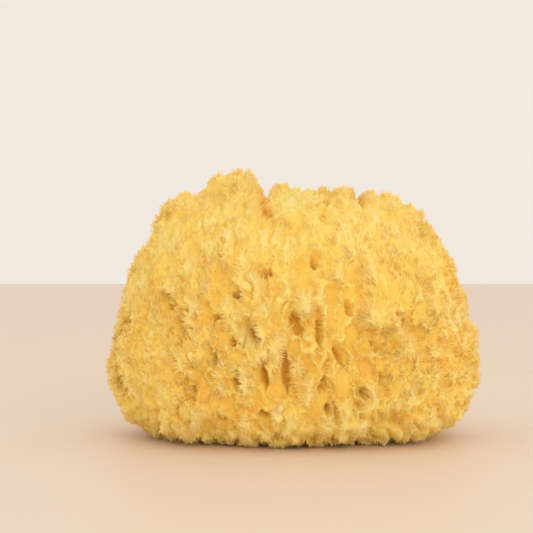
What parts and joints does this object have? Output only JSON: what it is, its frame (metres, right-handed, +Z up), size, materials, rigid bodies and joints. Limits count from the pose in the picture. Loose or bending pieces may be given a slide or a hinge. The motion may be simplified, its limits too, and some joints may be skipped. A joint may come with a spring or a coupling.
{
  "type": "sea sponge",
  "caption": "Natural bath sponge: a broad tufted dome, wider than deep, with a lobed crown, open pores and a flat cut underside to stand on.",
  "frame": {"origin": "on the surface that the sponge stands on, under the middle of its bounding box", "axes": "+X the long way across, -Y the front that the picture shows, +Z up"},
  "size_m": [0.1378, 0.1066, 0.0982],
  "materials": {
    "sponge": "dry, springy, fibrous sponge skeleton in a warm golden yellow"
  },
  "bodies": {
    "root": {"sponge": "sponge"}
  },
  "joints": []
}
